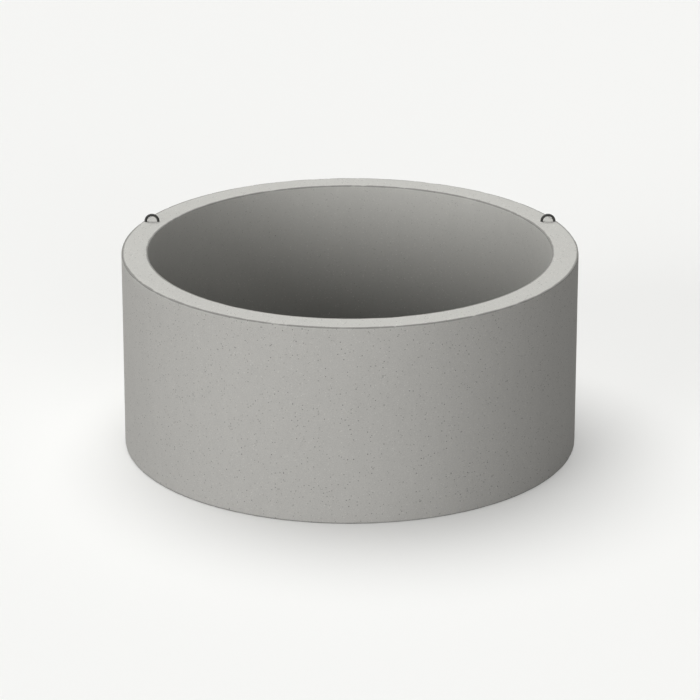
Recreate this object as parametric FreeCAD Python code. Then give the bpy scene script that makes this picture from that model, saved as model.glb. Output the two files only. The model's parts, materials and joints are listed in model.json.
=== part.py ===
"""Concrete wall ring for a manhole, with two lifting loops of round bar cast into its top face.

Units are millimetres. The ring stands on its lower face: the origin is the centre of that face and +Z
is the ring's axis, pointing up. The loops stand behind the XZ plane, one on each side of the YZ plane.
"""

import os
from math import cos, radians, sin, sqrt

import FreeCAD
import Part

V = FreeCAD.Vector

# The cast ring
BORE_DIAMETER = 1200.0
WALL = 80.0
HEIGHT = 600.0
ARRIS_RADIUS = 4.0  # rounding of the four circular edges

# The lifting loops
BAR_DIAMETER = 8.0
LOOP_SPAN = 38.0  # between the centres of the two legs
LOOP_NECK = 2.0  # straight leg between the top face and the arch
LOOP_COVER = 7.4  # concrete between the outer face and the outer leg
LOOP_ANGLE = 22.5  # degrees from the X axis to the loop, about the ring's axis
LEG_DEPTH = 180.0  # cast into the wall, from the top face to the middle of the foot
FOOT_LENGTH = 40.0  # from the leg's centre line to the foot's end
FOOT_BEND_RADIUS = 15.0  # of the bar's centre line

OUTER_RADIUS = BORE_DIAMETER / 2 + WALL
OUTER_LEG_RADIUS = OUTER_RADIUS - LOOP_COVER - BAR_DIAMETER / 2

LOOPS = {"lifting_loop_left": -1, "lifting_loop_right": 1}  # node name and side of the YZ plane


def bar_run(start, end):
    """A straight length of bar."""
    return Part.makeCylinder(BAR_DIAMETER / 2, (end - start).Length, start, end - start)


def bar_bend(start, direction, centre, axis, angle):
    """A bend: the bar's round section at start, square to direction, turned by angle about centre."""
    circle = Part.makeCircle(BAR_DIAMETER / 2, start, direction)
    return Part.Face(Part.Wire(circle)).revolve(centre, axis, angle)


def leg(top, foot_direction):
    """One leg from the arch down into the wall, ending in a foot turned along the wall."""
    down = V(0, 0, -1)
    bend_start = V(top.x, top.y, HEIGHT - LEG_DEPTH + FOOT_BEND_RADIUS)
    bend_centre = bend_start + foot_direction * FOOT_BEND_RADIUS
    bend_end = bend_centre + down * FOOT_BEND_RADIUS
    foot_end = bend_end + foot_direction * (FOOT_LENGTH - FOOT_BEND_RADIUS)
    return [
        bar_run(bend_start, top),
        bar_bend(bend_start, down, bend_centre, down.cross(foot_direction), 90),
        bar_run(bend_end, foot_end),
    ]


def lifting_loop(side):
    """A loop of round bar: an arch parallel to the XZ plane, on two legs with opposite feet."""
    angle = radians(LOOP_ANGLE)
    half_span = LOOP_SPAN / 2
    pitch_radius = sqrt(OUTER_LEG_RADIUS**2 - (half_span * sin(angle)) ** 2) - half_span * cos(angle)
    middle = V(side * pitch_radius * cos(angle), pitch_radius * sin(angle), HEIGHT + LOOP_NECK)
    outward = V(side * half_span, 0, 0)
    along_wall = V(-side * sin(angle), cos(angle), 0)
    arch = bar_bend(middle + outward, V(0, 0, 1), middle, V(0, -side, 0), 180)
    pieces = leg(middle + outward, along_wall) + leg(middle - outward, -along_wall)
    return arch.fuse(pieces).removeSplitter()


def ring_section_solid():
    """The plain ring with its four arrises rounded."""
    outside = Part.makeCylinder(OUTER_RADIUS, HEIGHT)
    bore = Part.makeCylinder(BORE_DIAMETER / 2, HEIGHT)
    plain = outside.cut(bore)
    arrises = [edge for edge in plain.Edges if isinstance(edge.Curve, Part.Circle)]
    return plain.makeFillet(min(ARRIS_RADIUS, WALL / 4), arrises)


def build():
    """Every piece by node name."""
    loops = {name: lifting_loop(side) for name, side in LOOPS.items()}
    ring = ring_section_solid().cut(list(loops.values()))
    return {"concrete_ring": ring, **loops}


def main():
    os.makedirs("parts", exist_ok=True)
    for name, shape in build().items():
        solids = shape.Solids
        print(name, "solids", len(solids), "valid", shape.isValid(), "volume", round(shape.Volume, 1))
        solids[0].exportStep(os.path.join("parts", name + ".step"))


main()
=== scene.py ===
"""The looks of a precast concrete manhole ring, laid out as an add-on and run as a script.

Everything is in metres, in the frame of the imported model: the ring stands on its lower face with its
axis on +Z. The cast ring is modelled anew, with worn arrises, an uneven surface and risen cement round
the bars. The two lifting loops keep their own meshes and get the finish of hot rolled bar.
"""

import json
import math

import bpy
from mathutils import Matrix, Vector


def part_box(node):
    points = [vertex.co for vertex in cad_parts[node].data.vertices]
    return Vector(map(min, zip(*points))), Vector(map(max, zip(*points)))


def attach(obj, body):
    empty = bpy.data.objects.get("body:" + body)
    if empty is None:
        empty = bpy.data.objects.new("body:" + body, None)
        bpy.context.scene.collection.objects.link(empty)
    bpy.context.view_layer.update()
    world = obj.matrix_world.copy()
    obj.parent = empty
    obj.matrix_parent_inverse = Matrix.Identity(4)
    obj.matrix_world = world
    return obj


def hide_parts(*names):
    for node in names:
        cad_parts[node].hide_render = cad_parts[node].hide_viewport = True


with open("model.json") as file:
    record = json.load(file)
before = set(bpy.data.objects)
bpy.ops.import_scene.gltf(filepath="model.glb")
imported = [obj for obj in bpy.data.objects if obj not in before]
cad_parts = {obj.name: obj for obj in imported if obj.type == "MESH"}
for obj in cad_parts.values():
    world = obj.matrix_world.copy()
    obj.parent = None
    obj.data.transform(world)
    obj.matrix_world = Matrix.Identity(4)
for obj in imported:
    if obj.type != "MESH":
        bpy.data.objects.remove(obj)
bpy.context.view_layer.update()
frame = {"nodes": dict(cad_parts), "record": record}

bl_info = {
    "name": "Manhole ring",
    "version": (1, 0, 0),
    "blender": (4, 5, 0),
    "location": "View3D > Sidebar > Manhole ring",
    "description": "Models and finishes a concrete manhole ring with its lifting loops",
    "category": "Object",
}

MM = 0.001
BODY = "root"
RING_NODE = "concrete_ring"
LOOP_NODES = ("lifting_loop_left", "lifting_loop_right")

# The ring's own sizes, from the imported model
MOUNTS = {mount["name"]: mount for mount in frame["record"]["mounts"]}
BORE = MOUNTS["shaft_bore"]["dims"]
RING_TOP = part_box(RING_NODE)[1]
OUTER_RADIUS = RING_TOP.x
HEIGHT = RING_TOP.z
BORE_RADIUS = BORE["r_mm"] * MM
ARRIS_RADIUS = (HEIGHT - BORE["length_mm"] * MM) / 2
BAR_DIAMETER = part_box(LOOP_NODES[0])[1].z - MOUNTS["hook_point_left"]["pos_m"][2]

# How finely the cast ring is divided
STEPS_ROUND = 700
ARRIS_SEGMENTS = 6
EDGE_BAND = 22 * MM  # beside each arris, where the rows are close
EDGE_ROW = 4.4 * MM
FACE_ROW = 20 * MM
COLLAR_CUTS = 4  # of each face round a bar

# The concrete's surface
GRAIN_CELLS = 290  # to the metre, each a place for a sand grain
DARK_SHARE = 0.05  # of those cells hold a dark grain
LIGHT_SHARE = 0.07  # and a light one
SHARE_EDGE = 0.01
HOLE_CELLS = 60  # to the metre, each a place for an air hole
ARRIS_DARK_START, ARRIS_DARK_END = 8 * MM, 11 * MM  # the dark band along each arris begins to fade, and is gone
ARRIS_DARK_RAGGED = 3 * MM  # how far its border wanders
ARRIS_DARK_DEPTH = 0.8  # how much of the dark arris colour shows
WALL_COUNT = 2.0  # distance along a wall counts for this much, so that the dark band lies mostly on the ends

# The stage. Each lamp is a sun: name, azimuth, elevation, softness (degrees) and strength
LAMPS = (
    ("front_left_lamp", -45, 10, 40, 0.545),
    ("front_lamp", 15, 10, 40, 0.35),
    ("high_back_lamp", -158, 71, 55, 0.88),
)
FLOOR_OWN_LIGHT = 0.24  # share of the floor's paleness that no shadow takes away


# Sizes and colours that a user would change


def length(name, description, default):
    return bpy.props.FloatProperty(name=name, description=description, default=default, unit="LENGTH")


def angle(name, description, degrees):
    return bpy.props.FloatProperty(
        name=name, description=description, default=math.radians(degrees), subtype="ANGLE")


def colour(name, description, default):
    return bpy.props.FloatVectorProperty(
        name=name, description=description, default=default, subtype="COLOR", size=3, min=0, max=1)


class RingSettings(bpy.types.PropertyGroup):
    """Relief of the cast ring."""

    wear: length("Arris wear", "How far the worn places of the arrises are set back", 0.9 * MM)
    swell: length("Swell", "Height of the slow waves that the mould left in the faces", 0.7 * MM)
    tooth: length("Tooth", "Height of the fine unevenness beside the arrises", 0.4 * MM)
    collar_height: length("Collar height", "Rise of the cement where a bar leaves the top face", 1.8 * MM)
    collar_width: length("Collar width", "How far the risen cement reaches from a bar", 7 * MM)


class ConcreteSettings(bpy.types.PropertyGroup):
    """Colours of the concrete."""

    # Painted light: the wall's colour is paler than the ends', though both are the same concrete.
    wall: colour("Wall", "Colour of the outer face, cast against the mould", (0.59, 0.58, 0.551))
    ends: colour("Ends", "Colour of the two flat ends", (0.54, 0.535, 0.506))
    # Painted shade: the bore's colour is darker than the wall's and the ends', though all are the same
    # concrete.
    bore: colour("Bore", "Colour of the inner face", (0.47, 0.465, 0.44))
    grain: colour("Dark grains", "Colour of the dark sand grains", (0.24, 0.235, 0.22))
    quartz: colour("Light grains", "Colour of the light sand grains", (0.7, 0.69, 0.655))
    # Painted shade: the air holes are coloured dark for the shade that falls in them.
    pore: colour("Air holes", "Colour inside the air holes", (0.2, 0.195, 0.18))
    # A dark band along each arris, darker than the face's own colour.
    arris: colour("Arrises", "Colour of the rubbed arrises", (0.19, 0.187, 0.175))


class SteelSettings(bpy.types.PropertyGroup):
    """Colours of the lifting loops."""

    scale: colour("Mill scale", "Colour of the scale on the hot rolled bar", (0.03, 0.03, 0.028))
    thin_scale: colour("Thin scale", "Colour where the scale is thin", (0.07, 0.068, 0.062))


class StageSettings(bpy.types.PropertyGroup):
    """Floor, light and camera."""

    floor_size: length("Floor size", "Side of the square floor", 80)
    pale: colour("Background", "Colour of the floor and of what lies beyond it", (0.92, 0.92, 0.904))
    bounce: colour("Bounce", "Colour that the floor gives back to the object", (0.15, 0.15, 0.148))
    camera_elevation: angle("Camera elevation", "Angle of the camera above the horizon", 20.65)
    camera_distance: length("Camera distance", "From the camera to the point it aims at", 11.36)
    camera_aim: length("Aim height", "Height on the axis of the point that the camera aims at", 0.277)
    camera_lens: bpy.props.FloatProperty(
        name="Lens", description="Focal length", default=194.3, min=1, unit="CAMERA")


# Modelling helpers


def start_fresh():
    """Nothing is selected, so that an operator reaches only what is added next."""
    bpy.ops.object.select_all(action="DESELECT")


def select(mesh, kind, wanted):
    """Edit mode, with only the wanted edges or faces selected. wanted reads the item's corner points."""
    bpy.ops.object.mode_set(mode="EDIT")
    bpy.ops.mesh.select_mode(type=kind)
    bpy.ops.mesh.select_all(action="DESELECT")
    bpy.ops.object.mode_set(mode="OBJECT")
    for item in mesh.edges if kind == "EDGE" else mesh.polygons:
        item.select = wanted([mesh.vertices[i].co for i in item.vertices])
    bpy.ops.object.mode_set(mode="EDIT")


def fade(value, full, gone):
    """1 up to full, 0 past gone, and a smooth step between."""
    share = min(max((gone - value) / (gone - full), 0), 1)
    return share * share * (3 - 2 * share)


def weigh(piece, name, weight_at):
    """A vertex group with weight_at(point) at each point, and its name."""
    group = piece.vertex_groups.new(name=name)
    for vertex in piece.data.vertices:
        weight = weight_at(vertex.co)
        if weight > 0:
            group.add([vertex.index], weight, "REPLACE")
    return group.name


def clouds(name, size, depth, start=0.0, end=1.0):
    """A procedural cloud texture, spread so that it is 0 up to start and 1 from end."""
    texture = bpy.data.textures.new(name, "CLOUDS")
    texture.noise_scale = size
    texture.noise_depth = depth
    texture.use_color_ramp = True
    low, high = texture.color_ramp.elements
    low.position, high.position = start, end
    low.color, high.color = (0, 0, 0, 1), (1, 1, 1, 1)
    return texture


def displace(piece, texture, height, middle=0.0, group="", direction="NORMAL"):
    """Moves the surface by height times the texture's value above middle, and keeps the result."""
    bpy.ops.object.modifier_add(type="DISPLACE")
    modifier = piece.modifiers[-1]
    modifier.texture = texture
    modifier.texture_coords = "LOCAL"
    modifier.strength = height
    modifier.mid_level = middle
    modifier.vertex_group = group
    modifier.direction = direction
    bpy.ops.object.modifier_apply(modifier=modifier.name)


# Material helpers


def new_material(name):
    """A material, its node tree and its Principled shader."""
    material = bpy.data.materials.new(name)
    material.use_nodes = True
    return material, material.node_tree, material.node_tree.nodes["Principled BSDF"]


def add_node(tree, kind, inputs=None, **settings):
    """A node with its settings, each input linked to an output or set to a value."""
    node = tree.nodes.new(kind)
    for key, value in settings.items():
        setattr(node, key, value)
    for key, value in (inputs or {}).items():
        if isinstance(value, bpy.types.NodeSocket):
            tree.links.new(value, node.inputs[key])
        else:
            node.inputs[key].default_value = value
    return node


def calculate(tree, operation, *values):
    return add_node(tree, "ShaderNodeMath", dict(enumerate(values)), operation=operation).outputs[0]


def noise(tree, position, scale, detail, roughness):
    """Noise from 0 to 1, with scale patches to the metre."""
    inputs = {"Vector": position, "Scale": scale, "Detail": detail, "Roughness": roughness}
    return add_node(tree, "ShaderNodeTexNoise", inputs).outputs[0]


def remap(tree, value, start, end, low=0.0, high=1.0):
    """value carried from start..end to low..high, and held there."""
    inputs = {"Value": value, "From Min": start, "From Max": end, "To Min": low, "To Max": high}
    return add_node(tree, "ShaderNodeMapRange", inputs).outputs[0]


def brightness(tree, parts):
    """1, raised or lowered by each (value, share) as the value leaves a half."""
    level = 1 - sum(share for _, share in parts) / 2
    for value, share in parts:
        level = calculate(tree, "MULTIPLY_ADD", value, share, level)
    return level


def scaled(tree, colour_value, level):
    """The colour times a number."""
    inputs = {0: tuple(colour_value), "Scale": level}
    return add_node(tree, "ShaderNodeVectorMath", inputs, operation="SCALE").outputs[0]


def blended(tree, share, first, second):
    """From the first colour to the second as share goes from 0 to 1."""
    inputs = {"Factor": share}
    for key, value in (("A", first), ("B", second)):
        inputs[key] = value if isinstance(value, bpy.types.NodeSocket) else tuple(value)
    return add_node(tree, "ShaderNodeMix", inputs, data_type="VECTOR").outputs[1]


def cells(tree, position, scale):
    """Voronoi cells: the distance to a cell's point, in cells, and two numbers of its own, 0 to 1."""
    node = add_node(tree, "ShaderNodeTexVoronoi", {"Vector": position, "Scale": scale})
    own = add_node(tree, "ShaderNodeSeparateColor", {"Color": node.outputs["Color"]})
    return node.outputs["Distance"], own.outputs["Red"], own.outputs["Green"]


def way_to_arris(tree, position):
    """Distance along the surface from the nearest arris's sharp corner, with more weight on a wall."""
    x, y, z = add_node(tree, "ShaderNodeSeparateXYZ", {0: position}).outputs
    flat = add_node(tree, "ShaderNodeCombineXYZ", {"X": x, "Y": y}).outputs[0]
    radius = add_node(tree, "ShaderNodeVectorMath", {0: flat}, operation="LENGTH").outputs["Value"]

    def nearest(value, *sizes):
        gaps = [calculate(tree, "ABSOLUTE", calculate(tree, "SUBTRACT", value, size)) for size in sizes]
        return calculate(tree, "MINIMUM", *gaps)

    return calculate(tree, "MULTIPLY_ADD", nearest(z, HEIGHT, 0.0), WALL_COUNT,
                     nearest(radius, OUTER_RADIUS, BORE_RADIUS))


# Materials


def concrete(name, base, colours, holes, streaks, sandy=1.0, low=1.0, high=1.0):
    """Cast concrete: clouded cement paste, sand grains, air holes darkened as painted shade
    and a dark band along the arrises.

    holes is the share of the hole cells that hold one. streaks is how strongly the face is drawn out
    upright, as the mould leaves it. sandy is how plainly the sand shows, and low and high scale the
    colour at the face's foot and its top: painted shade, darker low down and paler up high.
    """
    material, tree, shader = new_material(name)
    position = add_node(tree, "ShaderNodeTexCoord").outputs["Object"]
    drawn = add_node(tree, "ShaderNodeMapping", {"Vector": position, "Scale": (36, 36, 1.5)}).outputs[0]

    cloud = noise(tree, position, 2.6, 4, 0.55)
    mottle = noise(tree, position, 24, 4, 0.6)
    streak = noise(tree, drawn, 1, 3, 0.55)
    sand = noise(tree, position, 330, 3, 0.75)
    level = brightness(tree, [(cloud, 0.07), (mottle, 0.08), (streak, streaks), (sand, 0.5 * sandy)])
    # Painted shade: the colour darkens towards the foot of the face and pales towards its top.
    if low != high:
        z = add_node(tree, "ShaderNodeSeparateXYZ", {0: position}).outputs["Z"]
        level = calculate(tree, "MULTIPLY", level, remap(tree, z, 0.0, HEIGHT, low, high))

    # A few of the small cells hold a dark or a light grain, and a few of the large ones an air hole
    grain_distance, grain_kind, grain_size = cells(tree, position, GRAIN_CELLS)
    grain_radius = remap(tree, grain_size, 0.0, 1.0, 0.25, 0.6)
    inside = remap(tree, calculate(tree, "SUBTRACT", grain_radius, grain_distance), 0.0, 0.15, 0.0, sandy)
    dark_from, light_to = 1 - DARK_SHARE, LIGHT_SHARE
    is_dark = remap(tree, grain_kind, dark_from - SHARE_EDGE, dark_from + SHARE_EDGE)
    is_light = remap(tree, grain_kind, light_to + SHARE_EDGE, light_to - SHARE_EDGE)
    grain = calculate(tree, "MULTIPLY", is_dark, inside)
    quartz = calculate(tree, "MULTIPLY", is_light, inside)
    hole_distance, hole_kind, _ = cells(tree, position, HOLE_CELLS)
    hole_radius = remap(tree, hole_kind, 1 - holes, 1.0, 0.0, 0.1)
    hole = remap(tree, calculate(tree, "SUBTRACT", hole_radius, hole_distance), 0.0, 0.02)

    # A dark band along each arris, with a ragged border.
    ragged = calculate(tree, "MULTIPLY_ADD", mottle, ARRIS_DARK_RAGGED, way_to_arris(tree, position))
    darkened = remap(tree, ragged, ARRIS_DARK_START, ARRIS_DARK_END, 1.0, 0.0)

    paste = scaled(tree, base, level)
    grained = blended(tree, grain, blended(tree, quartz, paste, colours.quartz), colours.grain)
    # Painted shade: a dark colour inside each air hole.
    pitted = blended(tree, hole, grained, colours.pore)
    finished = blended(tree, calculate(tree, "MULTIPLY", darkened, ARRIS_DARK_DEPTH), pitted, colours.arris)
    tree.links.new(finished, shader.inputs["Base Color"])

    rough = remap(tree, mottle, 0.3, 0.7, 0.84, 0.96)
    tree.links.new(rough, shader.inputs["Roughness"])
    shader.inputs["Specular IOR Level"].default_value = 0.3

    height = calculate(tree, "MULTIPLY", sand, 0.35)
    for value, share in ((mottle, 0.5), (hole, -1.2), (grain, 0.12)):
        height = calculate(tree, "MULTIPLY_ADD", value, share, height)
    relief = add_node(tree, "ShaderNodeBump", {"Strength": 1.0, "Distance": MM, "Height": height})
    tree.links.new(relief.outputs[0], shader.inputs["Normal"])
    return material


def rolled_bar(colours):
    """Hot rolled bar: dark mill scale, thinner in patches, with a fine tooth."""
    material, tree, shader = new_material("rolled_bar")
    position = add_node(tree, "ShaderNodeTexCoord").outputs["Object"]
    patches = noise(tree, position, 140, 4, 0.6)
    tooth = noise(tree, position, 1500, 3, 0.6)
    level = brightness(tree, [(patches, 0.3), (tooth, 0.4)])
    scale = scaled(tree, colours.scale, level)
    thin = remap(tree, patches, 0.52, 0.7)
    tree.links.new(blended(tree, thin, scale, colours.thin_scale), shader.inputs["Base Color"])
    tree.links.new(remap(tree, tooth, 0.3, 0.7, 0.5, 0.68), shader.inputs["Roughness"])
    shader.inputs["Specular IOR Level"].default_value = 0.3
    height = calculate(tree, "MULTIPLY_ADD", patches, 0.5, tooth)
    relief = add_node(tree, "ShaderNodeBump", {"Strength": 0.6, "Distance": 0.12 * MM, "Height": height})
    tree.links.new(relief.outputs[0], shader.inputs["Normal"])
    return material


def seen_directly(tree):
    """1 where the camera looks, directly or through a reflection or glass, and 0 for lighting."""
    path = add_node(tree, "ShaderNodeLightPath").outputs
    seen = calculate(tree, "MAXIMUM", path["Is Camera Ray"], path["Is Glossy Ray"])
    return calculate(tree, "MAXIMUM", seen, path["Is Transmission Ray"])


def studio_floor(stage):
    """A pale matt floor that keeps the object's shadow, gives little light back and hides nothing below."""
    material = bpy.data.materials.new("studio_floor")
    material.use_nodes = True
    tree = material.node_tree
    tree.nodes.clear()
    shaded = [c * (1 - FLOOR_OWN_LIGHT) for c in stage.pale]
    lit = add_node(tree, "ShaderNodeBsdfDiffuse", {"Color": (*shaded, 1)})
    even = add_node(tree, "ShaderNodeEmission", {"Color": (*stage.pale, 1), "Strength": FLOOR_OWN_LIGHT})
    shown = add_node(tree, "ShaderNodeAddShader", {0: lit.outputs[0], 1: even.outputs[0]})
    dim = add_node(tree, "ShaderNodeBsdfDiffuse", {"Color": (*stage.bounce, 1)})
    upper = add_node(tree, "ShaderNodeMixShader",
                     {0: seen_directly(tree), 1: dim.outputs[0], 2: shown.outputs[0]})
    under = add_node(tree, "ShaderNodeNewGeometry").outputs["Backfacing"]
    clear = add_node(tree, "ShaderNodeBsdfTransparent")
    both = add_node(tree, "ShaderNodeMixShader", {0: under, 1: upper.outputs[0], 2: clear.outputs[0]})
    add_node(tree, "ShaderNodeOutputMaterial", {"Surface": both.outputs[0]})
    return material


# Pieces


def section_outline():
    """The wall's section as a closed outline in the XZ plane, with round arrises and close rows by them."""
    wall = OUTER_RADIUS - BORE_RADIUS
    middle = (BORE_RADIUS + wall / 2, 0, HEIGHT / 2)
    bpy.ops.mesh.primitive_plane_add(size=1, location=middle, rotation=(math.pi / 2, 0, 0))
    bpy.ops.object.transform_apply()
    piece = bpy.context.object
    bpy.ops.object.mode_set(mode="EDIT")
    bpy.ops.transform.resize(value=(wall, 1, HEIGHT), center_override=middle)
    bpy.ops.mesh.bevel(offset=ARRIS_RADIUS, segments=ARRIS_SEGMENTS, affect="VERTICES")
    bpy.ops.mesh.delete(type="ONLY_FACE")
    for across, low, high in (((1, 0, 0), BORE_RADIUS, OUTER_RADIUS), ((0, 0, 1), 0, HEIGHT)):
        for distance in (low + ARRIS_RADIUS + EDGE_BAND, high - ARRIS_RADIUS - EDGE_BAND):
            bpy.ops.mesh.select_all(action="SELECT")
            bpy.ops.mesh.bisect(plane_co=[distance * c for c in across], plane_no=across)
    divide_rows(piece.data, EDGE_ROW, lambda size: abs(size - EDGE_BAND) <= 0.1 * MM)
    divide_rows(piece.data, FACE_ROW, lambda size: size >= EDGE_BAND * 1.05)
    return piece


def divide_rows(mesh, row, fits):
    """Divides every edge whose length fits into rows of about that height."""
    bpy.ops.object.mode_set(mode="OBJECT")
    lengths = {round(edge_length(mesh, e), 5) for e in mesh.edges}
    for size in sorted(filter(fits, lengths)):
        select(mesh, "EDGE", lambda ends: abs((ends[0] - ends[1]).length - size) < 0.02 * MM)
        bpy.ops.mesh.subdivide(number_cuts=max(round(size / row) - 1, 1))
        bpy.ops.object.mode_set(mode="OBJECT")


def edge_length(mesh, edge):
    first, second = (mesh.vertices[i].co for i in edge.vertices)
    return (first - second).length


def spin_section(piece):
    """Spins the outline round the axis and closes the seam."""
    bpy.ops.object.mode_set(mode="EDIT")
    bpy.ops.mesh.select_all(action="SELECT")
    bpy.ops.mesh.spin(steps=STEPS_ROUND, angle=2 * math.pi, center=(0, 0, 0), axis=(0, 0, 1))
    bpy.ops.mesh.select_all(action="SELECT")
    bpy.ops.mesh.remove_doubles(threshold=0.01 * MM)
    bpy.ops.mesh.normals_make_consistent(inside=False)
    bpy.ops.object.mode_set(mode="OBJECT")
    bpy.ops.object.shade_smooth()


def bar_places():
    """Where the four legs leave the top face, as (x, y)."""
    places = []
    for node, hook in zip(LOOP_NODES, ("hook_point_left", "hook_point_right")):
        low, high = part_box(node)
        x, y, _ = MOUNTS[hook]["pos_m"]
        half_span = (high.x - low.x - BAR_DIAMETER) / 2
        places += [(x - half_span, y), (x + half_span, y)]
    return places


def to_bar(point, places):
    """Distance on the top face from a point to the nearest bar's surface, and far off it elsewhere."""
    if point.z < HEIGHT - ARRIS_RADIUS:
        return OUTER_RADIUS
    return min(math.hypot(point.x - x, point.y - y) for x, y in places) - BAR_DIAMETER / 2


def raise_collars(piece, settings):
    """Raises ragged cement round each bar."""
    places = bar_places()
    reach = 2.2 * settings.collar_width
    select(piece.data, "FACE", lambda corners: min(to_bar(c, places) for c in corners) < reach)
    bpy.ops.mesh.subdivide(number_cuts=COLLAR_CUTS)
    bpy.ops.object.mode_set(mode="OBJECT")
    collar = weigh(piece, "collar", lambda point: fade(to_bar(point, places), 0, settings.collar_width))
    ragged = clouds("ragged_cement", 5 * MM, 2, 0.2, 0.8)
    displace(piece, ragged, settings.collar_height, 0, collar, "Z")


def from_arris(point):
    """Distance from a surface point to the nearest arris's sharp corner, along the surface."""
    radius = math.hypot(point.x, point.y)
    sideways = min(abs(radius - OUTER_RADIUS), abs(radius - BORE_RADIUS))
    return sideways + min(abs(point.z), abs(point.z - HEIGHT))


def wear_surface(piece, settings):
    """Slow waves all over, and tooth and wear at the arrises. None of it stands proud of the ring."""
    arris = weigh(piece, "arris", lambda point: fade(from_arris(point), 4 * MM, 14 * MM))
    displace(piece, clouds("mould_swell", 0.3, 1), settings.swell, 1)
    displace(piece, clouds("tooth", 9 * MM, 2), settings.tooth, 1, arris)
    displace(piece, clouds("long_wear", 60 * MM, 3, 0.45, 0.8), -settings.wear, 0, arris)
    displace(piece, clouds("small_nicks", 14 * MM, 1, 0.62, 0.85), -settings.wear, 0, arris)


def lay_materials(piece, finishes):
    """finishes is [(material, test of a face's middle)], and the first that fits a face is used."""
    for material, _ in finishes:
        piece.data.materials.append(material)
    for face in piece.data.polygons:
        face.material_index = next(i for i, (_, fits) in enumerate(finishes) if fits(face.center))


class MANHOLE_OT_cast_ring(bpy.types.Operator):
    """Spins the cast ring from its section, wears it and gives it the finish of concrete"""

    bl_idname = "manhole.cast_ring"
    bl_label = "Cast ring"

    def execute(self, context):
        settings, colours = context.scene.manhole_ring, context.scene.manhole_concrete
        start_fresh()
        ring = section_outline()
        ring.name = ring.data.name = "cast_ring"
        spin_section(ring)
        raise_collars(ring, settings)
        wear_surface(ring, settings)
        middle_radius = (OUTER_RADIUS + BORE_RADIUS) / 2
        lay_materials(ring, [
            (concrete("concrete_ends", colours.ends, colours, holes=0.12, streaks=0.0),
             lambda c: not ARRIS_RADIUS < c.z < HEIGHT - ARRIS_RADIUS),
            (concrete("concrete_wall", colours.wall, colours, holes=0.3, streaks=0.04),
             lambda c: math.hypot(c.x, c.y) > middle_radius),
            # The bore's colour darkens towards its foot and pales towards its top: painted shade deep in
            # the bore.
            (concrete("concrete_bore", colours.bore, colours, holes=0.2, streaks=0.04, sandy=0.5,
                      low=0.6, high=1.22),
             lambda c: True),
        ])
        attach(ring, BODY)
        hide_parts(RING_NODE)
        return {"FINISHED"}


class MANHOLE_OT_lifting_loops(bpy.types.Operator):
    """Gives the two lifting loops the finish of hot rolled bar"""

    bl_idname = "manhole.lifting_loops"
    bl_label = "Lifting loops"

    def execute(self, context):
        finish = rolled_bar(context.scene.manhole_steel)
        for name in LOOP_NODES:
            frame["nodes"][name].material_slots[0].material = finish
        return {"FINISHED"}


def pointed(azimuth, elevation):
    """The turn of a lamp or camera that looks at the object from there. Azimuth 0 looks along +Y."""
    return (math.radians(90 - elevation), 0, math.radians(azimuth))


def add_sun(name, azimuth, elevation, softness, strength):
    """A sun whose light alone shows a white surface square to it at that strength."""
    bpy.ops.object.light_add(type="SUN", rotation=pointed(azimuth, elevation))
    lamp = bpy.context.object
    lamp.name = lamp.data.name = name
    lamp.data.energy = math.pi * strength
    lamp.data.angle = math.radians(softness)


def add_camera(stage):
    turn = pointed(0, math.degrees(stage.camera_elevation))
    back = stage.camera_distance * math.cos(stage.camera_elevation)
    up = stage.camera_aim + stage.camera_distance * math.sin(stage.camera_elevation)
    bpy.ops.object.camera_add(location=(0, -back, up), rotation=turn)
    camera = bpy.context.object
    camera.name = camera.data.name = "camera"
    camera.data.lens = stage.camera_lens
    camera.data.clip_end = 2 * stage.floor_size
    bpy.context.scene.camera = camera


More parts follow.
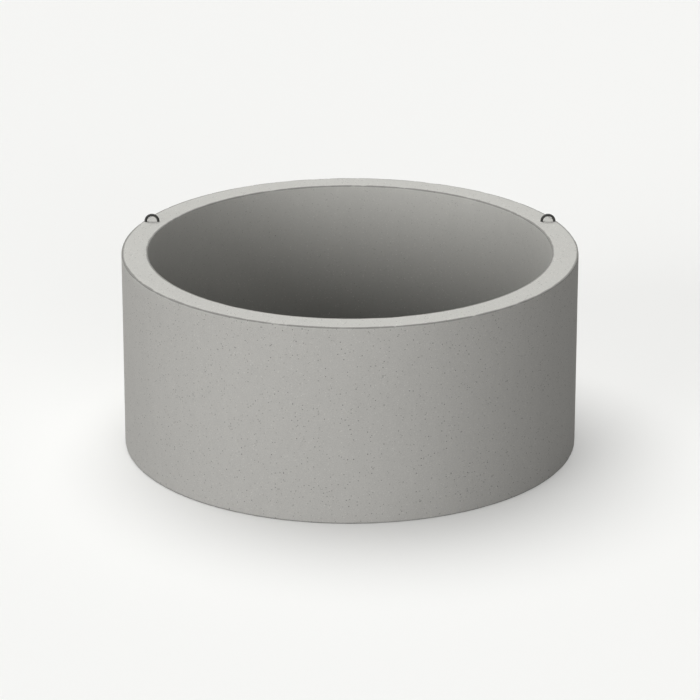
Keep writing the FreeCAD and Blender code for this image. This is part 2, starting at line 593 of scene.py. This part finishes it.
def pale_world(stage):
    """Pale where it is seen, and no light of its own."""
    world = bpy.data.worlds.new("pale_studio")
    world.use_nodes = True
    tree = world.node_tree
    tree.nodes.clear()
    inputs = {"Color": (*stage.pale, 1), "Strength": seen_directly(tree)}
    shown = add_node(tree, "ShaderNodeBackground", inputs)
    add_node(tree, "ShaderNodeOutputWorld", {"Surface": shown.outputs[0]})
    bpy.context.scene.world = world


class MANHOLE_OT_studio(bpy.types.Operator):
    """Adds the pale floor, the soft lamps and the camera"""

    bl_idname = "manhole.studio"
    bl_label = "Studio"

    def execute(self, context):
        stage = context.scene.manhole_stage
        start_fresh()
        bpy.ops.mesh.primitive_plane_add(size=stage.floor_size)
        floor = bpy.context.object
        floor.name = floor.data.name = "studio_floor"
        floor.data.materials.append(studio_floor(stage))
        for lamp in LAMPS:
            add_sun(*lamp)
        pale_world(stage)
        add_camera(stage)
        context.scene.view_settings.view_transform = "Standard"
        return {"FINISHED"}


class MANHOLE_PT_sidebar(bpy.types.Panel):
    bl_idname = "MANHOLE_PT_sidebar"
    bl_label = "Manhole ring"
    bl_space_type = "VIEW_3D"
    bl_region_type = "UI"
    bl_category = "Manhole ring"

    def draw(self, context):
        for operator, settings in PANEL_ROWS:
            column = self.layout.box().column()
            column.operator(operator.bl_idname)
            for name in settings:
                group = getattr(context.scene, name)
                for key in group.__annotations__:
                    column.prop(group, key)


SETTINGS = {
    "manhole_ring": RingSettings,
    "manhole_concrete": ConcreteSettings,
    "manhole_steel": SteelSettings,
    "manhole_stage": StageSettings,
}
PANEL_ROWS = (
    (MANHOLE_OT_cast_ring, ("manhole_ring", "manhole_concrete")),
    (MANHOLE_OT_lifting_loops, ("manhole_steel",)),
    (MANHOLE_OT_studio, ("manhole_stage",)),
)
CLASSES = (*SETTINGS.values(), *(operator for operator, _ in PANEL_ROWS), MANHOLE_PT_sidebar)


def register():
    for cls in CLASSES:
        bpy.utils.register_class(cls)
    for name, group in SETTINGS.items():
        setattr(bpy.types.Scene, name, bpy.props.PointerProperty(type=group))


def unregister():
    for name in SETTINGS:
        delattr(bpy.types.Scene, name)
    for cls in reversed(CLASSES):
        bpy.utils.unregister_class(cls)


def main():
    register()
    bpy.ops.manhole.cast_ring()
    bpy.ops.manhole.lifting_loops()
    bpy.ops.manhole.studio()


if __name__ == "__main__":
    main()
